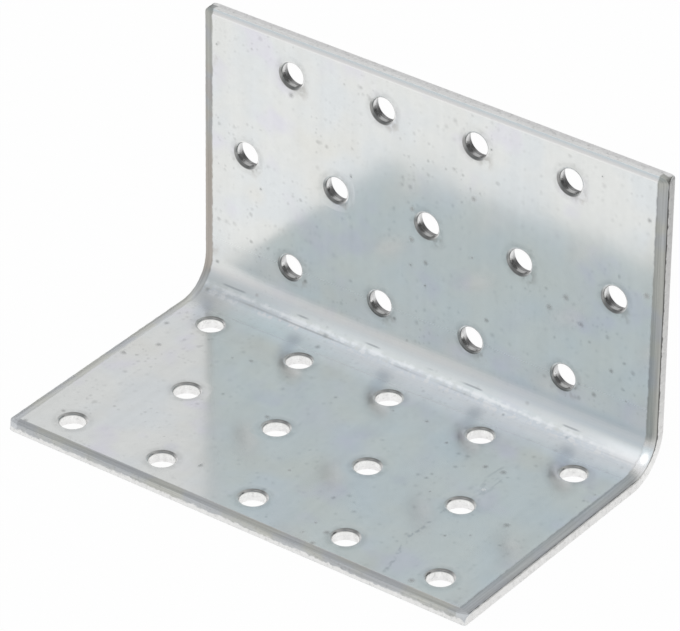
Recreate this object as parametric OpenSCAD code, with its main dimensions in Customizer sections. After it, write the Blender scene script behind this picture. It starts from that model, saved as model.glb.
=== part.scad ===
// Perforated angle bracket for timber framing: one strip of galvanised sheet,
// punched flat from its inside face, sheared to length and folded once.
// X runs along the fold, the upright leg stands at the back (+Y) and the base
// leg lies on Z = 0. The origin is the middle of the bracket's footprint.

/* [Strip] */
// Length of the bracket along its fold
plate_w = 99.5; // [40:0.5:240]
// Height of the upright leg above the underside
upright_h = 60.6; // [40:0.1:120]
// Depth of the base leg from the back of the upright
base_d = 59.5; // [40:0.1:120]
// Thickness of the sheet
sheet_t = 2.5; // [1.5:0.1:4]
// Inside radius of the fold
fold_r = 6.5; // [2:0.1:10]
// Radius of the four free corners, seen flat
corner_r = 0.8; // [0.2:0.1:5]

/* [Nail holes] */
// Bore of a nail hole
hole_d = 4.7; // [3:0.1:7]
// Distance between neighbouring holes of one row
hole_pitch = 20; // [12:0.5:30]
// Distance between neighbouring rows
row_pitch = 20; // [10:0.5:30]
// From the end of the fold to the first row of the upright
upright_lead = 4.2; // [3.5:0.1:12]
// From the end of the fold to the first row of the base
base_lead = 4.2; // [3.5:0.1:12]
// Least flat metal left between a hole and the rolled edge
hole_land = 0.6; // [0.4:0.1:5]

/* [Punched edges] */
// Width of the rolled shoulder along the strip's two sheared ends
roll_w = 1.8; // [0.4:0.1:2.5]
// Width of the shoulder along the two free edges
free_roll_w = 1.2; // [0.4:0.1:2.5]
// How far both shoulders drop at the cut edge
roll_drop = 0.5; // [0.1:0.05:0.8]
// Radius of the shoulders' slight crown
roll_crown = 4.3; // [2:0.1:12]
// Radius rolled in at the mouth of a hole
mouth_r = 0.45; // [0.1:0.05:0.8]
// How much the torn far end of a hole widens, all round
breakout_w = 0.5; // [0.02:0.02:0.7]
// Length of that torn end
breakout_l = 1.3; // [0.2:0.1:1.4]

/* [Hidden] */
$fn = 96;
// How far a cutting shape runs past the face that it opens on
past = 1;
// Outside radius of the fold
fold_out = fold_r + sheet_t;
hole_r = hole_d / 2;
// Least distance from a hole's centre to the start of a shoulder
hole_room = hole_r + hole_land;
// Holes in a full row; the rows between have one less and sit half a pitch over
full_row = floor((plate_w - 2 * (hole_room + roll_w)) / hole_pitch) + 1;

// Rolled shoulder of a cut edge, as the material that the shear pushed away.
// The sharp corner is at the origin, the cut edge on X = 0, the face on Y = 0.
module rolled_off(width) {
    chord = norm([width, roll_drop]);
    rise = sqrt(pow(roll_crown, 2) - pow(chord / 2, 2));
    difference() {
        translate([-width, -roll_drop])
            square([width + past, roll_drop + past]);
        translate([-width / 2 - rise * roll_drop / chord,
                   -roll_drop / 2 - rise * width / chord])
            circle(r = roll_crown);
    }
}

// Cross-section of the strip, with its outside face on Y = 0
module strip_section() difference() {
    translate([-plate_w / 2, 0]) square([plate_w, sheet_t]);
    for (side = [0, 1]) mirror([side, 0])
        translate([plate_w / 2, sheet_t]) rolled_off(roll_w);
}

// What rounds a free corner, with the sharp corner of the inside face at the
// origin
module corner_off() translate([-corner_r, -corner_r, -sheet_t - past])
    linear_extrude(sheet_t + 2 * past) difference() {
        square(corner_r + past);
        circle(r = corner_r);
    }

// A punched hole seen from the inside face, on Z = 0: a rolled mouth, a
// sheared bore, and a torn end that opens towards the outside face.
module nail_hole() {
    rotate_extrude() {
        difference() {
            translate([0, -mouth_r]) square([hole_r + mouth_r, mouth_r + past]);
            translate([hole_r + mouth_r, -mouth_r]) circle(r = mouth_r);
        }
        translate([0, -sheet_t - past]) square([hole_r, sheet_t + past]);
        polygon([[0, breakout_l - sheet_t], [hole_r, breakout_l - sheet_t],
                 [hole_r + breakout_w, -sheet_t],
                 [hole_r + breakout_w, -sheet_t - past], [0, -sheet_t - past]]);
    }
}

// Staggered rows of holes, from the row that is lead from the fold
module hole_rows(length, lead, short_first) {
    rows = floor((length - lead - hole_room - free_roll_w) / row_pitch);
    for (row = [0 : rows]) {
        holes = full_row - (row + short_first) % 2;
        for (i = [0 : holes - 1])
            translate([(i - (holes - 1) / 2) * hole_pitch,
                       lead + row * row_pitch, sheet_t]) nail_hole();
    }
}

// A flat leg before it is punched, outside face down, from the end of the fold
// on Y = 0 to its free edge
module leg_blank(length) difference() {
    rotate([90, 0, 180]) linear_extrude(length) strip_section();
    translate([0, length, sheet_t]) rotate([90, 0, 90])
        linear_extrude(plate_w + 2 * past, center = true)
            rolled_off(free_roll_w);
}

// The same leg with its corners and its holes
module leg(length, lead, short_first) difference() {
    leg_blank(length);
    for (side = [0, 1]) mirror([side, 0, 0])
        translate([plate_w / 2, length, sheet_t]) corner_off();
    hole_rows(length, lead, short_first);
}

// The fold: a quarter turn of the strip between the two legs
module fold() rotate([0, 90, 0]) rotate_extrude(angle = 90)
    translate([fold_out, 0]) rotate(90) strip_section();

module bracket() color("gainsboro") translate([0, base_d / 2, 0]) {
    translate([0, -fold_out, fold_out]) fold();
    translate([0, 0, fold_out]) rotate([90, 0, 0])
        leg(upright_h - fold_out, upright_lead, 1);
    translate([0, -fold_out, 0]) rotate([0, 0, 180])
        leg(base_d - fold_out, base_lead, 0);
}

bracket();
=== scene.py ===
import math

import bpy
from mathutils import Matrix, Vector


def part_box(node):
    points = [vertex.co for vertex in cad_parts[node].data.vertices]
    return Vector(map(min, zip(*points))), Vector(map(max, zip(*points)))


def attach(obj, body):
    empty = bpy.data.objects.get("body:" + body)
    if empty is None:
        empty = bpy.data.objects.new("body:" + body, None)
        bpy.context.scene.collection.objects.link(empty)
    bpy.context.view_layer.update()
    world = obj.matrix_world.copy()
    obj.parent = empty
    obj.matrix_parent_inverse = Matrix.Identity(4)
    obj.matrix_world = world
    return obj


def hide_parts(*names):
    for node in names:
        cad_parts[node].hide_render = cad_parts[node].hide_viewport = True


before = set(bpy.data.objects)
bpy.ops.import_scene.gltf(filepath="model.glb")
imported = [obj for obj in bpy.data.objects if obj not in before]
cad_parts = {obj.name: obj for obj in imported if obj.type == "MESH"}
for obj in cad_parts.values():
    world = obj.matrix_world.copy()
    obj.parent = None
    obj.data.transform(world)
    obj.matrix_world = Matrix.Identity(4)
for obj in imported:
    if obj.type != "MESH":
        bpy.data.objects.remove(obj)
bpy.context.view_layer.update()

# The blank: a strip of galvanised sheet, punched flat and sheared to length. It lies
# flat here: x runs along the later fold, s from the base up to the upright with 0 in
# the middle of the fold, and w through the sheet from its outside face.
MM = 0.001
low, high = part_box("bracket")
thick = 2.5 * MM
fold_radius = 6.5 * MM
pitch = 20 * MM
# from the end of the fold to the first row of holes; flat, the two first rows are
# one pitch apart
lead = 4.2 * MM
fold_run = pitch - 2 * lead
half_width = high.x
fold_reach = fold_radius + thick
strip_low = -fold_run / 2 - (high.y - low.y - fold_reach)
strip_high = fold_run / 2 + (high.z - fold_reach)

# Its faces are tiles with one nail hole each, 20 mm apart. The outer tiles squeeze
# up to end at the rim, and the tiles beside the fold to end where the fold starts.
tile_steps = 16
end_roll = 1.8 * MM
free_roll = 1.2 * MM
rim_land = 0.4 * MM
# the fold's own grid reaches a little past its ends
fold_half = fold_run / 2 + 0.3 * MM
tile_x = half_width - end_roll - rim_land
tile_low = strip_low + free_roll + rim_land
tile_high = strip_high - free_roll - rim_land
# half the tiled area before it is squeezed
tiled_x = 2.5 * pitch
tiled_s = 3 * pitch
# what lies beyond these, outside the mouths of the outer holes, is squeezed
squeeze_x = 2 * pitch + 3.5 * MM
squeeze_far = 2.5 * pitch + 3 * MM
# and what lies nearer to the fold than this, short of the mouths of the first row
squeeze_near = pitch / 2 - 3.1 * MM
# lines across the fold, closest together where it is creased
fold_lines = [-fold_half] + [fold_run / 2 * k / 10 for k in range(-10, -2)]
fold_lines += [fold_run / 2 * k / 40 for k in range(-8, 12)]
fold_lines += [fold_run / 2 * k / 10 for k in range(3, 11)] + [fold_half]


def place_x(value):
    """Where a tile's line along the strip lies."""
    past = max(abs(value) - squeeze_x, 0) * (tile_x - squeeze_x) / (tiled_x - squeeze_x)
    return math.copysign(min(abs(value), squeeze_x) + past, value)


def place_s(value, leg):
    """Where a tile's line across the strip lies, on the base (-1) or the upright (1)."""
    far = abs(tile_low if leg < 0 else tile_high)
    past = max(abs(value) - squeeze_far, 0) * (far - squeeze_far) / (tiled_s - squeeze_far)
    near = fold_half + abs(value) * (1 - fold_half / squeeze_near)
    return leg * max(min(abs(value), squeeze_far) + past, near)


# The rim of the blank, where the shear rolled the inside face over, cut it smooth
# for part of its thickness, then tore the rest away. It is built as rings round the
# outline; at the corners the roll runs down the edge to a point.
roll_drop = 0.5 * MM
roll_crown = 4.3 * MM
# how deep the smooth cut reaches
end_smooth = 0.85 * MM
free_smooth = 1.7 * MM
corner_smooth = 2.35 * MM
# the bevel from the torn face to the outside face
bevel_high = 0.1 * MM
bevel_wide = 0.08 * MM
# stages of the cut, kept on each point: 0 to 1 over the roll, then to these
stage_torn = 1.36
stage_foot = 2.0
# the corners seen flat: an exponent of 1 is round, and a lower one is squarer
corner_top = 0.95
corner_foot_right, corner_foot_base, corner_foot_upright = 0.4, 0.6, 0.8
# edges of a ring to each edge of a tile, and steps round a corner
fine = 4
corner_steps = 10


def roll_height(part, width):
    """Height of the rolled shoulder, a part of its width from where it starts."""
    chord = math.hypot(width, roll_drop)
    rise = math.sqrt(roll_crown ** 2 - (chord / 2) ** 2)
    centre_x = width / 2 - rise * roll_drop / chord
    centre_w = thick - roll_drop / 2 - rise * width / chord
    return centre_w + math.sqrt(roll_crown ** 2 - (part * width - centre_x) ** 2)


def rim_rows():
    """Each ring: part of the roll, of the smooth cut and of the tear, stage, raggedness."""
    rows = [(u, 0, 0, u, 0.0) for u in (0, 0.07, 0.2, 0.36, 0.52, 0.68, 0.82, 0.92)]
    rows += [(0.97, 0, 0, 0.97, 0.3), (1, 0, 0, 1.0, 0.6)]
    rows += [(1, b, 0, 1 + (stage_torn - 1) * b, ragged)
             for b, ragged in ((0.3, 0.4), (0.65, 0.4), (0.9, 0.8), (1, 1.0))]
    rows += [(1, 1, f, stage_torn + (stage_foot - stage_torn) * f, ragged)
             for f, ragged in ((0.1, 1.0), (0.35, 0.6), (0.65, 0.5), (0.9, 0.3), (1, 0.0))]
    return rows


def rim_spot(row, spot):
    """Where one point of a ring lies."""
    u, b, f, stage, ragged = row
    x, s, turn_x, turn_s, smooth = spot
    top = thick - roll_drop
    height = top - (smooth - roll_drop) * b
    height += (bevel_high - height) * f
    if u < 1 or b == 0:
        height = roll_height(u, math.hypot(end_roll * turn_x, free_roll * turn_s))
    # the corner is rounder at the top of the cut than at its foot
    foot = corner_foot_right if x > 0 else corner_foot_base if s < 0 else corner_foot_upright
    square = foot + (corner_top - foot) * min(height / top, 1)
    reach_x = math.copysign(abs(turn_x) ** square, turn_x) * end_roll * u
    reach_s = math.copysign(abs(turn_s) ** square, turn_s) * free_roll * u
    return x + reach_x, s + reach_s, height


def blank_mesh():
    """The rim's rings and the fold's grid, on lines that the tiles will meet."""
    xs = [place_x((k / tile_steps - 2.5) * pitch) for k in range(5 * tile_steps + 1)]
    ss = [place_s((k / tile_steps - 3) * pitch, -1) for k in range(3 * tile_steps)] + fold_lines
    ss += [place_s(k / tile_steps * pitch, 1) for k in range(1, 3 * tile_steps + 1)]
    sides = [([(x, ss[0]) for x in xs], (0, -1)), ([(xs[-1], s) for s in ss], (1, 0)),
             ([(x, ss[-1]) for x in reversed(xs)], (0, 1)), ([(xs[0], s) for s in reversed(ss)], (-1, 0))]
    coarse, ring, links = [], [], []
    for points, out in sides:
        first, start, steps = len(coarse), len(ring), len(points) - 1
        coarse += points[:-1]
        smooth = end_smooth if out[0] else free_smooth
        for k in range(steps * fine + 1):
            a, b = points[min(k // fine, steps - 1)], points[min(k // fine, steps - 1) + 1]
            f = k / fine - min(k // fine, steps - 1)
            x, s = a[0] + (b[0] - a[0]) * f, a[1] + (b[1] - a[1]) * f
            if out[0]:
                s += rim_land * (2 * (s - ss[0]) / (ss[-1] - ss[0]) - 1)
                x += out[0] * rim_land
            else:
                x *= (half_width - end_roll) / tile_x
                s += out[1] * rim_land
            ring.append((x, s, *out, smooth))
        links += [(first + k, start + k * fine) for k in range(steps)]
        turn, corner = math.atan2(out[1], out[0]), ring[-1][:2]
        for j in range(1, corner_steps):
            part = j / corner_steps
            smooth = (1 - part) * (end_smooth if out[0] else free_smooth)
            smooth += part * (free_smooth if out[0] else end_smooth)
            smooth += (corner_smooth - smooth) * (1 - abs(2 * part - 1)) ** 3
            angle = turn + part * math.pi / 2
            ring.append((*corner, math.cos(angle), math.sin(angle), smooth))
    verts, cut, torn, into = [], [], [], []

    def add(x, s, height, stage=0.0, ragged=0.0, inward=(0.0, 0.0)):
        verts.append((x, s, height))
        cut.append(stage)
        torn.append(ragged)
        into.extend((*inward, 0.0))

    for height in (thick, 0.0):
        for x, s in coarse:
            add(x, s, height)
    base, count = len(verts), len(ring)
    rows = rim_rows()
    for row in rows:
        for spot in ring:
            add(*rim_spot(row, spot), row[3], row[4], (-spot[2], -spot[3]))
    # a narrow bevel leads from the torn face to the outside face
    for x, s, turn_x, turn_s, smooth in ring:
        x, s, height = rim_spot(rows[-1], (x, s, turn_x, turn_s, smooth))
        add(x - bevel_wide * turn_x, s - bevel_wide * turn_s, 0.0)
    rings = len(rows) + 1
    faces = []
    for j in range(rings - 1):
        a, b = base + j * count, base + (j + 1) * count
        faces += [(a + i, b + i, b + (i + 1) % count, a + (i + 1) % count) for i in range(count)]
    last, total = base + (rings - 1) * count, len(coarse)
    for c, f in links:
        after = (c + 1) % total
        faces.append((c, *(base + f + k for k in range(fine + 1)), after))
        faces.append((last + f, total + c, total + after, *(last + f + k for k in range(fine, 0, -1))))
    side_ends = [f + fine for k, (c, f) in enumerate(links)
                 if k + 1 == len(links) or links[k + 1][1] != f + fine]
    side_starts = [k for k, (c, f) in enumerate(links) if k and links[k - 1][1] + fine != f] + [0]
    for end, c in zip(side_ends, side_starts):
        fan = [last + (end + k) % count for k in range(corner_steps + 1)]
        faces.append((fan[0], total + c, *reversed(fan[1:])))
    for height, order in ((thick, 1), (0.0, -1)):
        start, row = len(verts), len(xs)
        for s in fold_lines:
            for x in xs:
                add(x, s, height)
        for j in range(len(fold_lines) - 1):
            for i in range(row - 1):
                a = start + j * row + i
                faces.append((a, a + 1, a + row + 1, a + row)[::order])
    mesh = bpy.data.meshes.new("blank")
    mesh.from_pydata(verts, [], faces)
    for name, values in (("cut", cut), ("torn", torn)):
        mesh.attributes.new(name, "FLOAT", "POINT").data.foreach_set("value", values)
    mesh.attributes.new("into", "FLOAT_VECTOR", "POINT").data.foreach_set("vector", into)
    return mesh


# The sheet's small forms and its finish are reckoned with nodes. They are wired with
# sums in plain notation: each sum makes the Math node for it.
class Wire:
    """A node's output, which can be reckoned with."""

    def __init__(self, socket):
        self.socket = socket

    def maths(self, operation, *others):
        made = self.socket.id_data.nodes.new("ShaderNodeMath")
        made.operation = operation
        for slot, value in zip(made.inputs, (self, *others)):
            feed(slot, value)
        return Wire(made.outputs[0])

    def __add__(self, other):
        return self.maths("ADD", other)

    def __radd__(self, other):
        return self.maths("ADD", other)

    def __sub__(self, other):
        return self.maths("SUBTRACT", other)

    def __rsub__(self, other):
        return self.maths("MULTIPLY_ADD", -1.0, other)

    def __mul__(self, other):
        return self.maths("MULTIPLY", other)

    def __rmul__(self, other):
        return self.maths("MULTIPLY", other)

    def __truediv__(self, other):
        return self.maths("DIVIDE", other)

    def __pow__(self, other):
        return self.maths("POWER", other)

    def at_least(self, other):
        return self.maths("MAXIMUM", other)

    def at_most(self, other):
        return self.maths("MINIMUM", other)

    def size(self):
        return self.maths("ABSOLUTE")

    def step(self, start, end):
        """A smooth step from 0 to 1 as the value goes from start to end."""
        made = self.socket.id_data.nodes.new("ShaderNodeMapRange")
        made.interpolation_type = "SMOOTHSTEP"
        for slot, value in (("Value", self), ("From Min", start), ("From Max", end)):
            feed(made.inputs[slot], value)
        return Wire(made.outputs["Result"])

    def rise(self, start, end):
        """A smooth step over a length, with start and end in millimetres."""
        return self.step(start * MM, end * MM)

    def fall(self, start, end):
        """A smooth step down from 1 to 0, with start and end in millimetres."""
        return 1 - self.rise(start, end)

    def band(self, start, full, fade, end):
        """1 from full to fade, and 0 short of start and beyond end, in millimetres."""
        return self.rise(start, full) * self.fall(fade, end)

    def near(self, full, none):
        """1 within a distance of zero, and 0 beyond another, in millimetres."""
        return self.size().fall(full, none)


def feed(slot, value):
    """Links a wire to a socket, or sets a plain value on it."""
    if isinstance(value, Wire):
        slot.id_data.links.new(value.socket, slot)
    else:
        slot.default_value = value


def node(tree, kind, feeds=None, output=0, **settings):
    """Adds a node, sets it up, feeds its sockets and gives one output as a wire."""
    made = tree.nodes.new(kind)
    for name, value in settings.items():
        setattr(made, name, value)
    for slot, value in (feeds or {}).items():
        feed(made.inputs[slot], value)
    return Wire(made.outputs[output])


def parts(tree, vector):
    """The three parts of a vector."""
    made = tree.nodes.new("ShaderNodeSeparateXYZ")
    feed(made.inputs[0], vector)
    return [Wire(socket) for socket in made.outputs]


def scaled(tree, vector, factor):
    """A vector or a colour times a value."""
    return node(tree, "ShaderNodeVectorMath", {0: vector, "Scale": factor}, operation="SCALE")


def distance(across, along):
    """How far off a place is that lies so far across and so far along."""
    return (across ** 2.0 + along ** 2.0) ** 0.5


def noise(tree, place, scale, detail=2.0, stretch=(1.0, 1.0, 1.0), shift=(0.0, 0.0, 0.0)):
    """Noise from 0 to 1 over the flat sheet, with its cells drawn out by stretch."""
    moved = node(tree, "ShaderNodeVectorMath", {0: place, 1: stretch, 2: shift}, operation="MULTIPLY_ADD")
    return node(tree, "ShaderNodeTexNoise", {"Vector": moved, "Scale": scale, "Detail": detail})


def new_tree(name, kind, inputs, outputs):
    """A node group with named inputs and outputs, its input wires and its output node."""
    tree = bpy.data.node_groups.new(name, kind)
    for title, (socket, value) in inputs.items():
        made = tree.interface.new_socket(title, in_out="INPUT", socket_type="NodeSocket" + socket)
        if value is not None:
            made.default_value = value
    for title, socket in outputs.items():
        tree.interface.new_socket(title, in_out="OUTPUT", socket_type="NodeSocket" + socket)
    given = tree.nodes.new("NodeGroupInput")
    result = tree.nodes.new("NodeGroupOutput")
    return tree, {title: Wire(given.outputs[title]) for title in inputs}, result


def give(result, **wires):
    """Feeds a group's outputs by name."""
    for title, wire in wires.items():
        feed(result.inputs[title], wire)


def use(tree, group, feeds):
    """Places a node group, feeds its inputs and gives its outputs by name."""
    made = tree.nodes.new("GeometryNodeGroup" if tree.type == "GEOMETRY" else "ShaderNodeGroup")
    made.node_tree = group
    for slot, value in feeds.items():
        feed(made.inputs[slot], value)
    return {socket.name: Wire(socket) for socket in made.outputs}


# The nail holes, punched through from the inside face. One tile of sheet carries
# one hole: outside face, torn end, bore, rolled mouth and inside face, each a
# ring. The tiles stand in staggered rows.
bore = 2.35 * MM
mouth = 0.45 * MM
torn_width = 0.5 * MM
torn_length = 1.3 * MM
# a flat ring round the torn end, over which the stage of the cut sets in
torn_ring = 0.1 * MM
# points nearer than this are welded to one
weld = 0.004 * MM
# edges that turn more than this are shaded sharp
sharp_edge = math.radians(38)


def lattice(tree, size_x, size_y, count_x, count_y):
    """A flat grid round the origin, with so many points along each side."""
    return node(tree, "GeometryNodeMeshGrid", {
        "Size X": size_x, "Size Y": size_y, "Vertices X": count_x, "Vertices Y": count_y})


def store(tree, shape, name, value, kind="FLOAT"):
    """The shape with a value kept on each of its points."""
    return node(tree, "GeometryNodeStoreNamedAttribute", {"Geometry": shape, "Name": name, "Value": value},
                data_type=kind, domain="POINT")


def ring_tree():
    """One ring of a tile, from one circle or square round the hole to the next."""
    tree, given, result = new_tree("Hole ring", "GeometryNodeTree", {
        "Steps": ("Int", 4), "Crowding": ("Float", 1.0), "Round": ("Float", 0.0),
        "From Radius": ("Float", 0.0), "From Height": ("Float", 0.0), "From Square": ("Float", 0.0),
        "To Radius": ("Float", 0.0), "To Height": ("Float", 0.0), "To Square": ("Float", 0.0),
        "From Cut": ("Float", 0.0), "To Cut": ("Float", 0.0),
        "From Tear": ("Float", 0.0), "To Tear": ("Float", 0.0)},
        {"Ring": "Geometry"})
    shape = lattice(tree, 1.0, 1.0, 4 * tile_steps + 1, given["Steps"] + 1)
    x, y, z = parts(tree, node(tree, "GeometryNodeInputPosition"))
    # quarter turns round the hole, and the share of the way from one line to the next
    turn = 2 - 4 * x
    share = y + 0.5
    wave = [((turn + shift).maths("MODULO", 4.0) - 2).size() * 2 - 2 for shift in (4, 3)]
    square = [w.at_least(-1.0).at_most(1.0) for w in wave]
    circle = [(turn * (math.pi / 2)).maths(way) for way in ("COSINE", "SINE")]
    eased = share ** given["Crowding"]
    swept = share * (math.pi / 2)
    across = eased + (1 - swept.maths("COSINE") - eased) * given["Round"]
    upward = eased + (swept.maths("SINE") - eased) * given["Round"]
    spots = []
    for c, q in zip(circle, square):
        start = given["From Radius"] * (c + (q - c) * given["From Square"])
        end = given["To Radius"] * (c + (q - c) * given["To Square"])
        spots.append(start + (end - start) * across)
    height = given["From Height"] + (given["To Height"] - given["From Height"]) * upward
    where = node(tree, "ShaderNodeCombineXYZ", {"X": spots[0], "Y": spots[1], "Z": height})
    outward = node(tree, "ShaderNodeCombineXYZ", {"X": circle[0], "Y": circle[1]})
    shape = store(tree, shape, "cut", given["From Cut"] + (given["To Cut"] - given["From Cut"]) * share)
    shape = store(tree, shape, "torn", given["From Tear"] + (given["To Tear"] - given["From Tear"]) * share)
    shape = store(tree, shape, "into", outward, "FLOAT_VECTOR")
    feed(result.inputs[0], node(tree, "GeometryNodeSetPosition", {"Geometry": shape, "Position": where}))
    return tree


def strip_tree(ring, coat, cut_metal):
    """Tiles in rows, joined to the blank, worked over by the punch and folded once."""
    tree, given, result = new_tree("Punched and folded strip", "GeometryNodeTree", {
        "Blank": ("Geometry", None), "Pitch": ("Float", pitch), "Thickness": ("Float", thick),
        "Bore": ("Float", bore), "Mouth": ("Float", mouth),
        "Torn Width": ("Float", torn_width), "Torn Length": ("Float", torn_length),
        "Side": ("Float", tile_x), "Low End": ("Float", -tile_low), "High End": ("Float", tile_high),
        "Fold Half": ("Float", fold_half),
        "Dish Depth": ("Float", 0.038 * MM), "Dish Reach": ("Float", 1.8 * MM),
        "Pull Depth": ("Float", 0.08 * MM),
        "Wave": ("Float", 0.05 * MM), "Tear": ("Float", 0.13 * MM), "Seed": ("Float", 3.0),
        "Fold Radius": ("Float", fold_radius), "Fold Run": ("Float", fold_run),
        "Back": ("Float", high.y)}, {"Bracket": "Geometry"})

    def joined(*shapes):
        made = tree.nodes.new("GeometryNodeJoinGeometry")
        for shape in shapes:
            feed(made.inputs[0], shape)
        return Wire(made.outputs[0])

    def moved(shape, **sums):
        """The shape shifted by a vector."""
        shift = node(tree, "ShaderNodeCombineXYZ", sums)
        return node(tree, "GeometryNodeSetPosition", {"Geometry": shape, "Offset": shift})

    def stored(name, kind="FLOAT"):
        return node(tree, "GeometryNodeInputNamedAttribute", {"Name": name}, data_type=kind)

    lip = given["Bore"] + given["Mouth"]
    under = given["Thickness"] - given["Mouth"]
    half = given["Pitch"] / 2
    end = given["Bore"] + given["Torn Width"]
    rings = [
        {"Steps": 4, "Crowding": 0.6, "From Radius": half, "From Square": 1.0,
         "To Radius": end + torn_ring},
        {"Steps": 1, "From Radius": end + torn_ring, "To Radius": end, "To Cut": stage_foot},
        {"Steps": 4, "From Radius": end, "To Radius": given["Bore"], "To Height": given["Torn Length"],
         "From Cut": stage_foot, "To Cut": stage_torn, "To Tear": 0.8},
        {"Steps": 3, "From Radius": given["Bore"], "From Height": given["Torn Length"],
         "To Radius": given["Bore"], "To Height": under, "From Cut": stage_torn, "To Cut": 1.0,
         "From Tear": 0.8, "To Tear": 0.3},
        {"Steps": 5, "Round": 1.0, "From Radius": given["Bore"], "From Height": under, "To Radius": lip,
         "To Height": given["Thickness"], "From Cut": 1.0, "From Tear": 0.3},
        {"Steps": 9, "Crowding": 1.5, "From Radius": lip, "From Height": given["Thickness"],
         "To Radius": half, "To Height": given["Thickness"], "To Square": 1.0}]
    tile = joined(*(use(tree, ring, sizes)["Ring"] for sizes in rings))

    # rows of five holes and rows of four take turns, half a pitch over
    tiles, spots = [], []
    for holes, shift in ((5, -0.5), (4, 0.5)):
        rows = lattice(tree, given["Pitch"] * (holes - 1), given["Pitch"] * 4, holes, 3)
        rows = moved(rows, Y=given["Pitch"] * shift)
        spots.append(rows)
        tiles.append((rows, tile))
    # plain sheet fills the ends of the rows of four
    plain = lattice(tree, half, given["Pitch"], tile_steps // 2 + 1, tile_steps + 1)
    plain = joined(moved(plain, Z=given["Thickness"]), node(tree, "GeometryNodeFlipFaces", {"Mesh": plain}))
    ends = lattice(tree, given["Pitch"] * 4.5, given["Pitch"] * 4, 2, 3)
    tiles.append((moved(ends, Y=half), plain))
    leg = parts(tree, node(tree, "GeometryNodeInputPosition"))[1].maths("SIGN")
    placed = []
    for rows, shape in tiles:
        rows = store(tree, rows, "leg", leg)
        placed.append(node(tree, "GeometryNodeInstanceOnPoints", {"Points": rows, "Instance": shape}))
    faces = joined(*placed)
    faces = node(tree, "GeometryNodeRealizeInstances", {"Geometry": faces})

    x, s, w = parts(tree, node(tree, "GeometryNodeInputPosition"))
    far = given["High End"] + (given["Low End"] - given["High End"]) * stored("leg").maths("LESS_THAN", 0.0)
    beyond = (s.size() - squeeze_far).at_least(0.0) * ((far - squeeze_far) / (tiled_s - squeeze_far))
    beside = given["Fold Half"] + s.size() * (1 - given["Fold Half"] / squeeze_near)
    aside = (x.size() - squeeze_x).at_least(0.0) * ((given["Side"] - squeeze_x) / (tiled_x - squeeze_x))
    where = node(tree, "ShaderNodeCombineXYZ", {
        "X": x.maths("SIGN") * (x.size().at_most(squeeze_x) + aside),
        "Y": stored("leg") * (s.size().at_most(squeeze_far) + beyond).at_least(beside), "Z": w})
    faces = node(tree, "GeometryNodeSetPosition", {"Geometry": faces, "Position": where})
    strip = joined(given["Blank"], faces)
    strip = node(tree, "GeometryNodeMergeByDistance", {"Geometry": strip, "Distance": weld})
    place = node(tree, "GeometryNodeInputPosition")
    x, s, w = parts(tree, place)
    level = node(tree, "ShaderNodeCombineXYZ", {"X": x, "Y": s})
    gap = node(tree, "GeometryNodeProximity", {"Geometry": joined(*spots), "Sample Position": level},
               output="Distance", target_element="POINTS") - lip
    strip = store(tree, store(tree, strip, "flat", place, "FLOAT_VECTOR"), "gap", gap)

    # the punch draws the inside face down round each hole, the fold pulls the sheet
    # down beside its nearest holes, and the whole strip waves a little
    seed = node(tree, "ShaderNodeCombineXYZ", {"X": given["Seed"] * 0.37, "Z": given["Seed"]})
    depth = ((w / given["Thickness"] - 0.3) / 0.7).at_least(0.0).at_most(1.0)
    beside = s.band(-14, -7, -7.5, 0)
    dish = (1 - stored("gap").step(0.0, given["Dish Reach"])) * given["Dish Depth"]
    dish = dish * (1 - s.band(-18, -15, -4.5, -1))
    pull = (0.5 + (x * (2 * math.pi) / given["Pitch"]).maths("COSINE") * 0.5) * given["Pull Depth"] * beside
    drop = depth * (dish + pull + (noise(tree, place, 90.0, 1.0, shift=seed) - 0.5) * given["Wave"])
    ragged = stored("torn") * given["Tear"]
    back = ragged * noise(tree, place, 1500.0, shift=seed)
    lift = ragged * (noise(tree, place, 900.0, 3.0, shift=seed) - 0.5) * 2.2
    inward = scaled(tree, stored("into", "FLOAT_VECTOR"), back)
    rise = node(tree, "ShaderNodeCombineXYZ", {"Z": lift - drop})
    offset = node(tree, "ShaderNodeVectorMath", {0: inward, 1: rise}, operation="ADD")
    strip = node(tree, "GeometryNodeSetPosition", {"Geometry": strip, "Offset": offset})

    # the fold: what lies in the fold's run turns about its centre, the rest follows
    x, s, w = parts(tree, node(tree, "GeometryNodeInputPosition"))
    run = given["Fold Run"]
    below = s + run / 2
    angle = (below / run).at_least(0.0).at_most(1.0) * (math.pi / 2)
    reach = given["Fold Radius"] + given["Thickness"]
    arm = reach - w
    y = given["Back"] - reach + arm * angle.maths("SINE") + below.at_most(0.0)
    z = reach - arm * angle.maths("COSINE") + (below - run).at_least(0.0)
    folded = node(tree, "ShaderNodeCombineXYZ", {"X": x, "Y": y, "Z": z})
    strip = node(tree, "GeometryNodeSetPosition", {"Geometry": strip, "Position": folded})

    sharp = node(tree, "GeometryNodeInputMeshEdgeAngle").maths("GREATER_THAN", sharp_edge)
    strip = node(tree, "GeometryNodeSetShadeSmooth",
                 {"Geometry": strip, "Selection": sharp, "Shade Smooth": False}, domain="EDGE")
    strip = node(tree, "GeometryNodeSetMaterial", {"Geometry": strip, "Material": coat})
    walls = stored("cut").maths("GREATER_THAN", 1.0)
    strip = node(tree, "GeometryNodeSetMaterial",
                 {"Geometry": strip, "Selection": walls, "Material": cut_metal})
    feed(result.inputs[0], node(tree, "GeometryNodeRealizeInstances", {"Geometry": strip}))
    return tree


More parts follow.
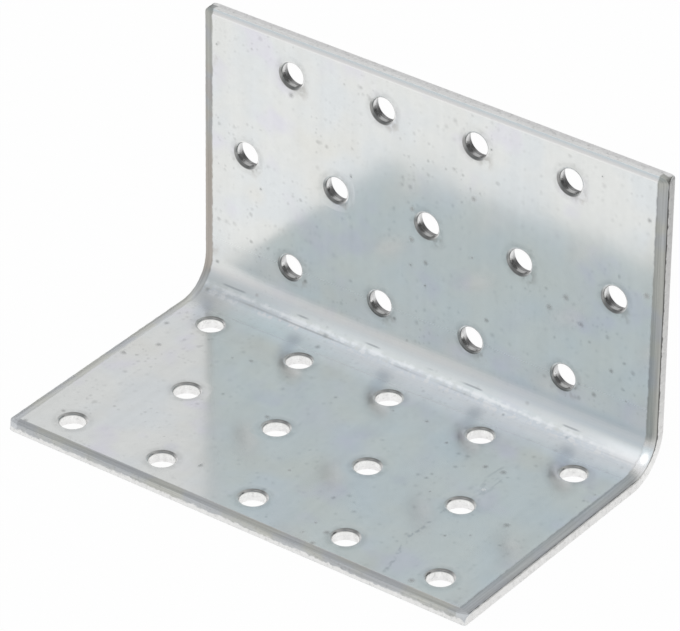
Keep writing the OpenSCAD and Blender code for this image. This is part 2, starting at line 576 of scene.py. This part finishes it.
# The finish: hot-dip zinc, rolled smooth with the sheet, so it mirrors softly. It
# is scuffed dull and dark where the shear rolled it over, smeared where it cut, and
# pale bare steel shows where it tore. Both materials share the wear of the edges.
def mix(tree, share, first, second):
    """A colour that goes from the first to the second as share goes from 0 to 1."""
    first, second = (c if isinstance(c, Wire) else (*c, 1.0) for c in (first, second))
    return node(tree, "ShaderNodeMix", {0: share, 6: first, 7: second}, output=2, data_type="RGBA")


def bumped(tree, height, depth):
    """A normal for a relief of this height, with its depth as a length."""
    return node(tree, "ShaderNodeBump", {"Height": height, "Distance": depth, "Strength": 1.0})


def nearest_hole_tree():
    """Where a place lies from the middle of its nearest nail hole."""
    tree, given, result = new_tree("Nearest hole", "ShaderNodeTree", {
        "Place": ("Vector", None), "Pitch": ("Float", pitch)}, {"Across": "Float", "Along": "Float"})
    x, s, w = parts(tree, given["Place"])
    row = (s / given["Pitch"]).maths("FLOOR")
    stagger = (row / 2.0).maths("FRACT")
    column = (x / given["Pitch"] + stagger).maths("FLOOR") + 0.5 - stagger
    give(result, Across=x - column * given["Pitch"], Along=s - (row + 0.5) * given["Pitch"])
    return tree


def wear_tree(nearest):
    """How far an edge is worn or torn, and what its metal looks like there."""
    tree, given, result = new_tree("Edge wear", "ShaderNodeTree", {
        "Place": ("Vector", None), "Cut": ("Float", 0.0), "Gap": ("Float", pitch)},
        {"Worn": "Float", "Torn": "Float", "Metal": "Color", "Roughness": "Float", "Height": "Float"})
    cut, place = given["Cut"], given["Place"]
    x, s, w = parts(tree, place)
    along = node(tree, "ShaderNodeCombineXYZ", {"X": cut * 8.0, "Y": x * 55.0, "Z": s * 55.0})
    streaks = noise(tree, along, 1.0, 4.0)
    blotches = noise(tree, place, 190.0)
    patches = noise(tree, place, 150.0)
    jags = noise(tree, place, 1000.0)
    grain = noise(tree, place, 3500.0)
    drawn = noise(tree, place, 1100.0, stretch=(1.0, 1.0, 0.12))
    right, upright, inside = x.rise(-2, 2), s.rise(-2, 2), w.rise(0.2, 1)
    left = 1 - right
    in_hole = given["Gap"].fall(0, 0.1)
    at_end = (x.size() + (jags - 0.5) * (0.5 * MM)).step(half_width - 2.2 * MM, half_width - 1.8 * MM)
    at_far = s.step(strip_high - 2.4 * MM, strip_high - 1.6 * MM)
    at_top = at_far * (1 - at_end)
    torn = cut + (jags - 0.5) * 0.4 + (blotches - 0.5) * 0.3 * (1 - in_hole)
    torn = torn.step(stage_torn - 0.08, stage_torn + 0.06)
    worn = (cut + (jags - 0.5) * 0.08 + (streaks - 0.5) * 0.08).step(0.02, 0.10)
    worn = worn.at_least(at_end * inside) * (1 - at_top * (1 - cut.step(0.96, 1.0)))

    # the shoulders: scuffed olive to bluish, dull, brown at the left of the upright,
    # and polished smoother at the right end of the fold, with a painted highlight there
    olive, bluish, blue = (0.50, 0.505, 0.475), (0.47, 0.485, 0.50), (0.47, 0.488, 0.51)
    brown, painted_highlight = (0.50, 0.45, 0.40), (0.96, 0.96, 0.965)
    left_up = left * s.rise(-2, 4) * at_end
    left_base = left * s.fall(-6, 0) * at_end
    right_up = right * s.rise(0, 6) * at_end
    right_base = right * s.fall(-8, -2) * at_end
    polished_and_highlight = right * s.near(1.5, 5) * at_end
    stained = (blotches.step(0.5, 0.62) * 0.4).at_least(0.8 - s.rise(24, 36) * 0.8)
    rolled = mix(tree, patches.step(0.4, 0.62), olive, bluish)
    rolled = mix(tree, left_up * stained, rolled, brown)
    rolled = mix(tree, right_base * 0.6, rolled, blue)
    rolled = scaled(tree, rolled, (0.62 + streaks * 0.76) * (1 - left_up * 0.2) * (1 - right_up * 0.15)
                    * (1 + left_base * 0.3) * (1 + cut.step(0.5, 0.9) * right_base * 0.25))
    rolled = mix(tree, polished_and_highlight * 0.9, rolled, painted_highlight)

    # below them a dark line at the right end, the smooth cut with a painted reflection of the dark
    # surround, then smeared metal, then bare torn metal
    base_line, upright_dark_reflection, smear = (0.48, 0.48, 0.47), (0.11, 0.11, 0.105), (0.82, 0.82, 0.81)
    bare_end, bare_top = (0.86, 0.855, 0.845), (0.78, 0.775, 0.77)
    lip = cut.step(0.92, 1.06) * at_end * right
    lip = lip * s.step(strip_low + 1.5 * MM, strip_low + 3 * MM) * (1 - at_far)
    smeared = mix(tree, lip, rolled, mix(tree, s.rise(-3, 3), base_line, upright_dark_reflection))
    smeared = mix(tree, at_top, smeared, scaled(tree, smear, 0.82 + streaks * 0.36))
    bare = mix(tree, at_top, bare_end, bare_top)
    edge = mix(tree, torn, smeared, scaled(tree, bare, 0.9 + drawn * 0.2))

    # the holes: a mouth that the punch rubbed, painted dark at one side as a painted reflection of the dark
    # surround, then a drawn wall
    base_mouth, upright_mouth, shut_mouth = (0.44, 0.44, 0.43), (0.25, 0.25, 0.245), (0.26, 0.26, 0.255)
    clean_wall, torn_wall = (0.82, 0.82, 0.81), (0.84, 0.835, 0.83)
    hole = use(tree, nearest, {"Place": place})
    radius = distance(hole["Across"], hole["Along"])
    shut = hole["Along"] * (1 - upright * 2) / radius
    facing = (shut - hole["Across"] / radius).step(-0.4, 1.0)
    shut = shut.step(0.2, 0.9)
    rubbed_and_painted_light = facing * inside * given["Gap"].fall(0, 0.22)
    rubbed_and_shaded_mouth = mix(tree, shut, mix(tree, upright, base_mouth, upright_mouth), shut_mouth)
    lipped = mix(tree, facing * (1 - cut.step(0.7, 1.1)), clean_wall, rubbed_and_shaded_mouth)
    walls = mix(tree, torn, lipped, torn_wall)
    # in the upright the wall is painted darker on its lower side and lighter to the upper left: painted
    # shade and a painted highlight
    walls = scaled(tree, walls, (0.86 + drawn * 0.36) * (1 - shut * upright * 0.4)
                   * (1 + (facing - shut).at_least(0.0) * upright * 0.25))
    metal = mix(tree, in_hole.at_least(rubbed_and_painted_light), edge, walls)
    give(result, Worn=worn.at_least(rubbed_and_painted_light), Torn=torn, Metal=scaled(tree, metal, 0.93 + grain * 0.14),
         Roughness=0.34 - 0.12 * in_hole + torn * 0.16 - polished_and_highlight * 0.17,
         Height=streaks * 0.4 + grain * (0.1 + 0.5 * torn) + drawn * torn * 0.4)
    return tree


def speck_tree():
    """Small irregular spots, scattered over the sheet."""
    tree, given, result = new_tree("Specks", "ShaderNodeTree", {
        "Place": ("Vector", None), "Scale": ("Float", 350.0), "Share": ("Float", 0.1),
        "Size": ("Float", 0.12)}, {"Mask": "Float"})
    wobble = node(tree, "ShaderNodeTexNoise", {"Vector": given["Place"], "Scale": 1800.0}, output="Color")
    wobble = scaled(tree, wobble, 0.3 * MM)
    moved = node(tree, "ShaderNodeVectorMath", {0: given["Place"], 1: wobble}, operation="ADD")
    cells = tree.nodes.new("ShaderNodeTexVoronoi")
    cells.voronoi_dimensions = "2D"
    feed(cells.inputs["Vector"], moved)
    feed(cells.inputs["Scale"], given["Scale"])
    chance, spread, other = parts(tree, Wire(cells.outputs["Color"]))
    away = Wire(cells.outputs["Distance"]) / (given["Size"] * (0.35 + spread * 0.9))
    give(result, Mask=(1 - away.step(0.0, 1.5)) * chance.maths("LESS_THAN", given["Share"]))
    return tree


def crease_tree():
    """Along the inside of the fold: a painted highlight on the crease with white flecks, dark dashes, and a
    cool band and a warm one.
    """
    tree, given, result = new_tree("Crease marks", "ShaderNodeTree", {"Place": ("Vector", None)}, {
        "Crease": "Float", "Dashes": "Float", "Cool": "Float", "Warm": "Float"})
    x, s, w = parts(tree, given["Place"])
    rubbed_and_painted_light = noise(tree, given["Place"], 620.0, 4.0)
    swing = (noise(tree, given["Place"], 1.0, stretch=(45.0, 0.0, 0.0)) - 0.5) * (0.7 * MM)
    line = s + swing + x * 0.006
    crease_glint = (line + 0.55 * MM).near(0.12, 0.55) * rubbed_and_painted_light.step(0.3, 0.6)
    flecks = line.band(-3.2, -2, -0.4, 0.6) * rubbed_and_painted_light.step(0.46, 0.6)
    runs = noise(tree, given["Place"], 1.0, 1.0, stretch=(130.0, 0.0, 0.0), shift=(7.0, 0.0, 0.0))
    dashes = (line - 0.6 * MM).near(0.06, 0.28) * runs.step(0.52, 0.62)
    long_runs = noise(tree, given["Place"], 1.0, stretch=(60.0, 0.0, 0.0), shift=(3.0, 0.0, 0.0))
    under = (line + 1.5 * MM).near(0.05, 0.3) * long_runs.step(0.40, 0.58) * (1 - x.rise(-20, 30) * 0.75)
    give(result, Crease=crease_glint.at_least(flecks * 0.8), Dashes=dashes.at_least(under * 0.8),
         Cool=line.band(-3.6, -1.6, -0.6, -0.1) * rubbed_and_painted_light.step(0.25, 0.65), Warm=line.band(0.2, 1, 2.5, 4.5))
    return tree


def mark_tree():
    """One-off marks on the base: a wavy scratch, a scuffed patch, a nick and bruises."""
    tree, given, result = new_tree("One-off marks", "ShaderNodeTree", {"Place": ("Vector", None)}, {
        "Scratch": "Float", "Nick": "Float", "Bruise": "Float"})
    x, s, w = parts(tree, given["Place"])
    wiggle = (noise(tree, given["Place"], 1.0, 3.0, stretch=(0.0, 170.0, 0.0)) - 0.5) * (1.6 * MM)
    speckled = noise(tree, given["Place"], 900.0, 3.0)
    path = 28.7 * MM + s.fall(-55, -42) * (2.6 * MM) + wiggle
    scratch = (x - path).near(0.1, 0.55) * s.band(-55, -54, -34, -30) * speckled.step(0.44, 0.56)
    streaky = noise(tree, given["Place"], 1.0, 3.0, stretch=(1100.0, 260.0, 0.0))
    patch = (x - 30 * MM).near(0.6, 2.6) * streaky.step(0.5, 0.62) * s.band(-30, -26, -16, -12)

    def blot(across, along, size):
        """A round spot with an uneven rim, its middle and its size in millimetres."""
        away = distance(x - across * MM, s - along * MM) + (speckled - 0.5) * (1.2 * MM)
        return away.fall(size * 0.2, size)

    bruise = blot(17.0, -30.0, 2.4)
    for spot in ((3.6, -21.4, 3.4), (-21.0, -46.0, 2.2), (34.0, -29.0, 2.0)):
        bruise = bruise.at_least(blot(*spot))
    give(result, Scratch=scratch.at_least(patch * 0.7), Nick=blot(30.4, -23.6, 0.55), Bruise=bruise)
    return tree


def material(name):
    """A new material, its node tree and its Principled BSDF."""
    made = bpy.data.materials.new(name)
    made.use_nodes = True
    skin = made.node_tree.nodes["Principled BSDF"]
    return made, made.node_tree, skin


def sheet_facts(tree, wear):
    """A point's place on the flat sheet, gap to the holes, stage of the cut and wear."""
    place = node(tree, "ShaderNodeAttribute", output="Vector", attribute_name="flat")
    gap = node(tree, "ShaderNodeAttribute", output="Fac", attribute_name="gap")
    cut = node(tree, "ShaderNodeAttribute", output="Fac", attribute_name="cut")
    return place, gap, cut, use(tree, wear, {"Place": place, "Cut": cut, "Gap": gap})


nearest = nearest_hole_tree()
wear, specks = wear_tree(nearest), speck_tree()

coat, tree, skin = material("galvanised_zinc")
place, gap, cut, edge = sheet_facts(tree, wear)
x, s, w = parts(tree, place)
inside = w.rise(0.2, 1)
hole = use(tree, nearest, {"Place": place})
clouds = noise(tree, place, 75.0)
second_clouds = noise(tree, place, 95.0, shift=(0.3, 0.1, 0.0))
third_clouds = noise(tree, place, 60.0, shift=(0.0, 0.7, 0.2))
mottle = noise(tree, place, 650.0, 3.0)
grain = noise(tree, place, 2400.0)
rolling = noise(tree, place, 1.0, stretch=(420.0, 14.0, 0.0))
green_grey, blue_grey = (0.778, 0.790, 0.776), (0.748, 0.777, 0.788)
violet_grey, yellow_grey = (0.748, 0.746, 0.796), (0.770, 0.772, 0.742)
zinc = mix(tree, clouds.step(0.42, 0.66), green_grey, blue_grey)
zinc = mix(tree, second_clouds.step(0.54, 0.72), zinc, violet_grey)
zinc = mix(tree, third_clouds.step(0.56, 0.74), zinc, yellow_grey)

# brownish dark spots below and right of each hole of the upright
brown_spot = distance(hole["Across"] - 2.1 * MM, hole["Along"] + 2.5 * MM).fall(0.5, 2.4)
brown_spot = brown_spot * inside * mottle.step(0.4, 0.65) * s.rise(0, 8)
zinc = mix(tree, brown_spot * 0.5, zinc, (0.50, 0.48, 0.45))

# the base beside the fold is pale, and left of the holes nearest the fold it is painted dark: a painted
# reflection
pale_left, pale_right, painted_dark_reflection = (0.77, 0.88, 0.92), (0.90, 0.935, 0.97), (0.58, 0.63, 0.69)
pale = inside * s.band(-10, -4, -2, -1) * x.rise(-46, -28)
zinc = mix(tree, pale * 0.85, zinc, mix(tree, x.rise(-36, -5), pale_left, pale_right))
lean = hole["Across"] + 3.3 * MM + hole["Along"].at_least(-2 * MM) * 0.3 + (mottle - 0.5) * (1 * MM)
zinc = mix(tree, inside * lean.near(0.2, 2.4) * s.band(-14, -8, -5, -1.5) * 0.6, zinc, painted_dark_reflection)

# halos round the holes, and specks in clusters everywhere
halo = gap.fall(0.1, 1.5) * (0.03 + mottle.step(0.35, 0.6) * 0.13)
clusters = noise(tree, place, 110.0, shift=(0.5, 0.0, 0.9)).step(0.44, 0.66)
large, small, tiny = (
    use(tree, specks, {"Place": place, "Scale": scale, "Share": share, "Size": size})["Mask"]
    for scale, share, size in ((300.0, 0.06, 0.16), (540.0, 0.13, 0.24), (980.0, 0.22, 0.34)))
pitted = (small * 0.24 + tiny * 0.13) * (0.3 + clusters * 0.7)
shade = 0.9 + mottle * 0.07 + rolling * 0.09 + grain * 0.03
zinc = scaled(tree, zinc, shade * (1 - halo) * (1 - large * 0.34) * (1 - pitted))

# the shoulder of the top edge is only lightly scuffed
crown = s.step(strip_high - 1.3 * MM, strip_high - 0.9 * MM)
crown_tint = mix(tree, cut.step(0.1, 0.8), (0.93, 0.925, 0.915), (0.85, 0.845, 0.84))
unmarked = mix(tree, crown * (0.75 + mottle * 0.25), zinc, crown_tint)

# the crease's painted highlight and the bands beside it, and the one-off marks, all on the inside face
cool, warm = (0.70, 0.765, 0.84), (0.80, 0.775, 0.77)
crease_highlight, cool_grey = (0.95, 0.955, 0.96), (0.655, 0.70, 0.735)
mark = use(tree, crease_tree(), {"Place": place})
zinc = mix(tree, mark["Cool"] * 0.8, unmarked, cool)
zinc = mix(tree, mark["Warm"] * 0.5, zinc, warm)
zinc = mix(tree, mark["Crease"] * 0.9, zinc, crease_highlight)
# painted shade: the fold's reflection is darkened at its left end, and so is the base in the left corner
# beside it
fold_left_shade = x.fall(-46, -15) * s.band(-2.5, -1, 0.5, 3)
fold_corner_shade = x.fall(-46, -38) * s.band(-8, -4, -2.5, -1)
zinc = scaled(tree, zinc, 1 - 0.26 * fold_left_shade - 0.18 * fold_corner_shade)
zinc = mix(tree, x.rise(-5, 40) * s.band(1.2, 2.6, 4.5, 7) * 0.8, zinc, cool_grey)
# a painted highlight on the fold at its right end
fold_right_highlight = x.rise(34, 47) * (s + 0.4 * MM).near(0.8, 2.6)
zinc = mix(tree, fold_right_highlight * (0.7 + mottle * 0.3), zinc, (0.98, 0.98, 0.985))
zinc = mix(tree, mark["Dashes"] * 0.6, zinc, (0.30, 0.31, 0.33))
once = use(tree, mark_tree(), {"Place": place})
zinc = mix(tree, once["Bruise"] * 0.35, zinc, (0.63, 0.64, 0.71))
zinc = mix(tree, once["Scratch"] * 0.55, zinc, (0.45, 0.47, 0.49))
zinc = mix(tree, once["Nick"] * 0.8, zinc, (0.97, 0.97, 0.97))
zinc = mix(tree, inside, unmarked, zinc)

# the wear shows less where the sheet is itself mirrored
rays = tree.nodes.new("ShaderNodeLightPath")
seen_worn = edge["Worn"] * (1 - Wire(rays.outputs["Is Glossy Ray"]) * 0.7)
worked = s.band(-8, -4.5, 7, 14)
roughness = 0.14 + clouds * 0.03 + large * 0.2 + worked * 0.19 + once["Nick"] * 0.4
relief = mottle * 0.3 + rolling * 0.5 + edge["Height"] * edge["Worn"] - large * 0.3
feed(skin.inputs["Metallic"], 1.0)
feed(skin.inputs["Base Color"], mix(tree, seen_worn, zinc, edge["Metal"]))
feed(skin.inputs["Roughness"], roughness + (edge["Roughness"] - roughness) * edge["Worn"])
feed(skin.inputs["Normal"], bumped(tree, relief, 0.006 * MM))

cut_metal, tree, skin = material("sheared_steel")
place, gap, cut, edge = sheet_facts(tree, wear)
pits = noise(tree, place, 1700.0, 3.0).step(0.56, 0.7)
feed(skin.inputs["Metallic"], 1.0)
feed(skin.inputs["Base Color"], scaled(tree, edge["Metal"], 1 - pits * 0.14))
feed(skin.inputs["Roughness"], edge["Roughness"])
feed(skin.inputs["Normal"], bumped(tree, edge["Height"] - pits, 0.02 * MM))

# The bracket itself: one piece of galvanised sheet, punched, sheared and folded once.
# The node tree works it over from the blank, and the result is kept as a plain mesh.
bracket = bpy.data.objects.new("bracket_sheet", blank_mesh())
bpy.context.scene.collection.objects.link(bracket)
press = bracket.modifiers.new("press", "NODES")
press.node_group = strip_tree(ring_tree(), coat, cut_metal)
pressed = bpy.data.meshes.new_from_object(bracket.evaluated_get(bpy.context.evaluated_depsgraph_get()))
bracket.modifiers.clear()
bracket.data = pressed
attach(bracket, "root")
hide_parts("bracket")

# The studio: a white floor with a painted shadow behind the bracket and at its foot,
# which only the metal's mirrored rays see, under a pale surround with two soft lights.
# The surround is bluish in front, and dark high at the left, low at the back and at the right behind the
# bracket.
floor_half, floor_top = 3.0, -0.1 * MM
floor_mesh = bpy.data.meshes.new("floor")
corners = [(x * floor_half, y * floor_half, floor_top) for x, y in ((-1, -1), (1, -1), (1, 1), (-1, 1))]
floor_mesh.from_pydata(corners, [], [(0, 1, 2, 3)])
floor = bpy.data.objects.new("floor", floor_mesh)
bpy.context.scene.collection.objects.link(floor)
paint, tree, skin = material("white_floor")
skin.inputs["Base Color"].default_value = (0.9, 0.9, 0.9, 1)
skin.inputs["Roughness"].default_value = 0.8
rays = tree.nodes.new("ShaderNodeLightPath")
seen, mirrored = Wire(rays.outputs["Is Camera Ray"]), Wire(rays.outputs["Is Glossy Ray"])
x, y, z = parts(tree, node(tree, "ShaderNodeTexCoord", output=3))
shaded = x.near(46, 54) * y.band(-32, -26, 45, 60) * Wire(rays.outputs["Ray Length"]).rise(5, 8)
strength = 1 - mirrored * (y.rise(30, 60) * 0.22 + y.rise(60, 220) * 0.66).at_least(shaded * 0.45)
glow = node(tree, "ShaderNodeEmission", {"Color": (1, 1, 1, 1), "Strength": strength})
mixed = node(tree, "ShaderNodeMixShader", {0: seen * 0.975 + mirrored, 1: Wire(skin.outputs[0]), 2: glow})
feed(tree.nodes["Material Output"].inputs["Surface"], mixed)
floor_mesh.materials.append(paint)

world = bpy.data.worlds.new("studio")
bpy.context.scene.world = world
world.use_nodes = True
tree = world.node_tree
way = node(tree, "ShaderNodeTexCoord", output="Generated")


def lobe(centre, inner, outer):
    """1 within the inner angle of a direction, 0 beyond the outer one, in degrees."""
    size = math.sqrt(sum(v * v for v in centre))
    dot = node(tree, "ShaderNodeVectorMath", {0: way, 1: tuple(v / size for v in centre)},
               output="Value", operation="DOT_PRODUCT")
    return dot.step(math.cos(math.radians(outer)), math.cos(math.radians(inner)))


x, y, z = parts(tree, way)
pale = mix(tree, 1 - y.step(-0.8, -0.1), (0.80, 0.803, 0.81), (0.735, 0.81, 0.85))
pale = mix(tree, lobe((-0.42, -0.45, 0.78), 8, 20) * 0.5, pale, (0.99, 1.0, 1.02))
pale = mix(tree, lobe((0.02, -0.64, 0.76), 4, 24), pale, (1.3, 1.3, 1.3))
front = 1 - y.step(-0.8, -0.6)
pale = scaled(tree, pale, 1 - 0.13 * (1 - z.step(0.3, 0.5)) * front)
pale = mix(tree, (1 - z.step(0.14, 0.3)) * front, pale, (0.73, 0.73, 0.735))
high_left = z.step(0.7, 0.8) * (1 - x.step(-0.58, -0.45))
low_back = (1 - z.step(0.05, 0.3)) * y.step(0.2, 0.5)
right_back = lobe((0.5, 0.8, 0.25), 26, 44)
pale = scaled(tree, pale, (1 - 0.5 * high_left) * (1 - 0.8 * low_back) * (1 - 0.85 * right_back))
sky = tree.nodes["Background"]
feed(sky.inputs["Color"], pale)
rays = tree.nodes.new("ShaderNodeLightPath")
white = node(tree, "ShaderNodeBackground", {"Color": (1, 1, 1, 1), "Strength": 1.0})
mixed = node(tree, "ShaderNodeMixShader", {
    0: Wire(rays.outputs["Is Camera Ray"]), 1: Wire(sky.outputs[0]), 2: white})
feed(tree.nodes["World Output"].inputs["Surface"], mixed)

# The camera: its place, turn and lens are fitted to the centres of the holes and to
# the outlines in the photo, so that a picture can be laid over it.
eye = bpy.data.cameras.new("camera")
eye.sensor_width = 36
eye.sensor_fit = "HORIZONTAL"
eye.lens = 309.58
eye.clip_start = 0.05
eye.clip_end = 20
camera = bpy.data.objects.new("camera", eye)
camera.location = (0.50726, -0.69363, 0.57156)
camera.rotation_euler = (math.radians(57.689), math.radians(-0.6023), math.radians(36.499))
bpy.context.scene.collection.objects.link(camera)
bpy.context.scene.camera = camera
bpy.context.scene.view_settings.view_transform = "Standard"
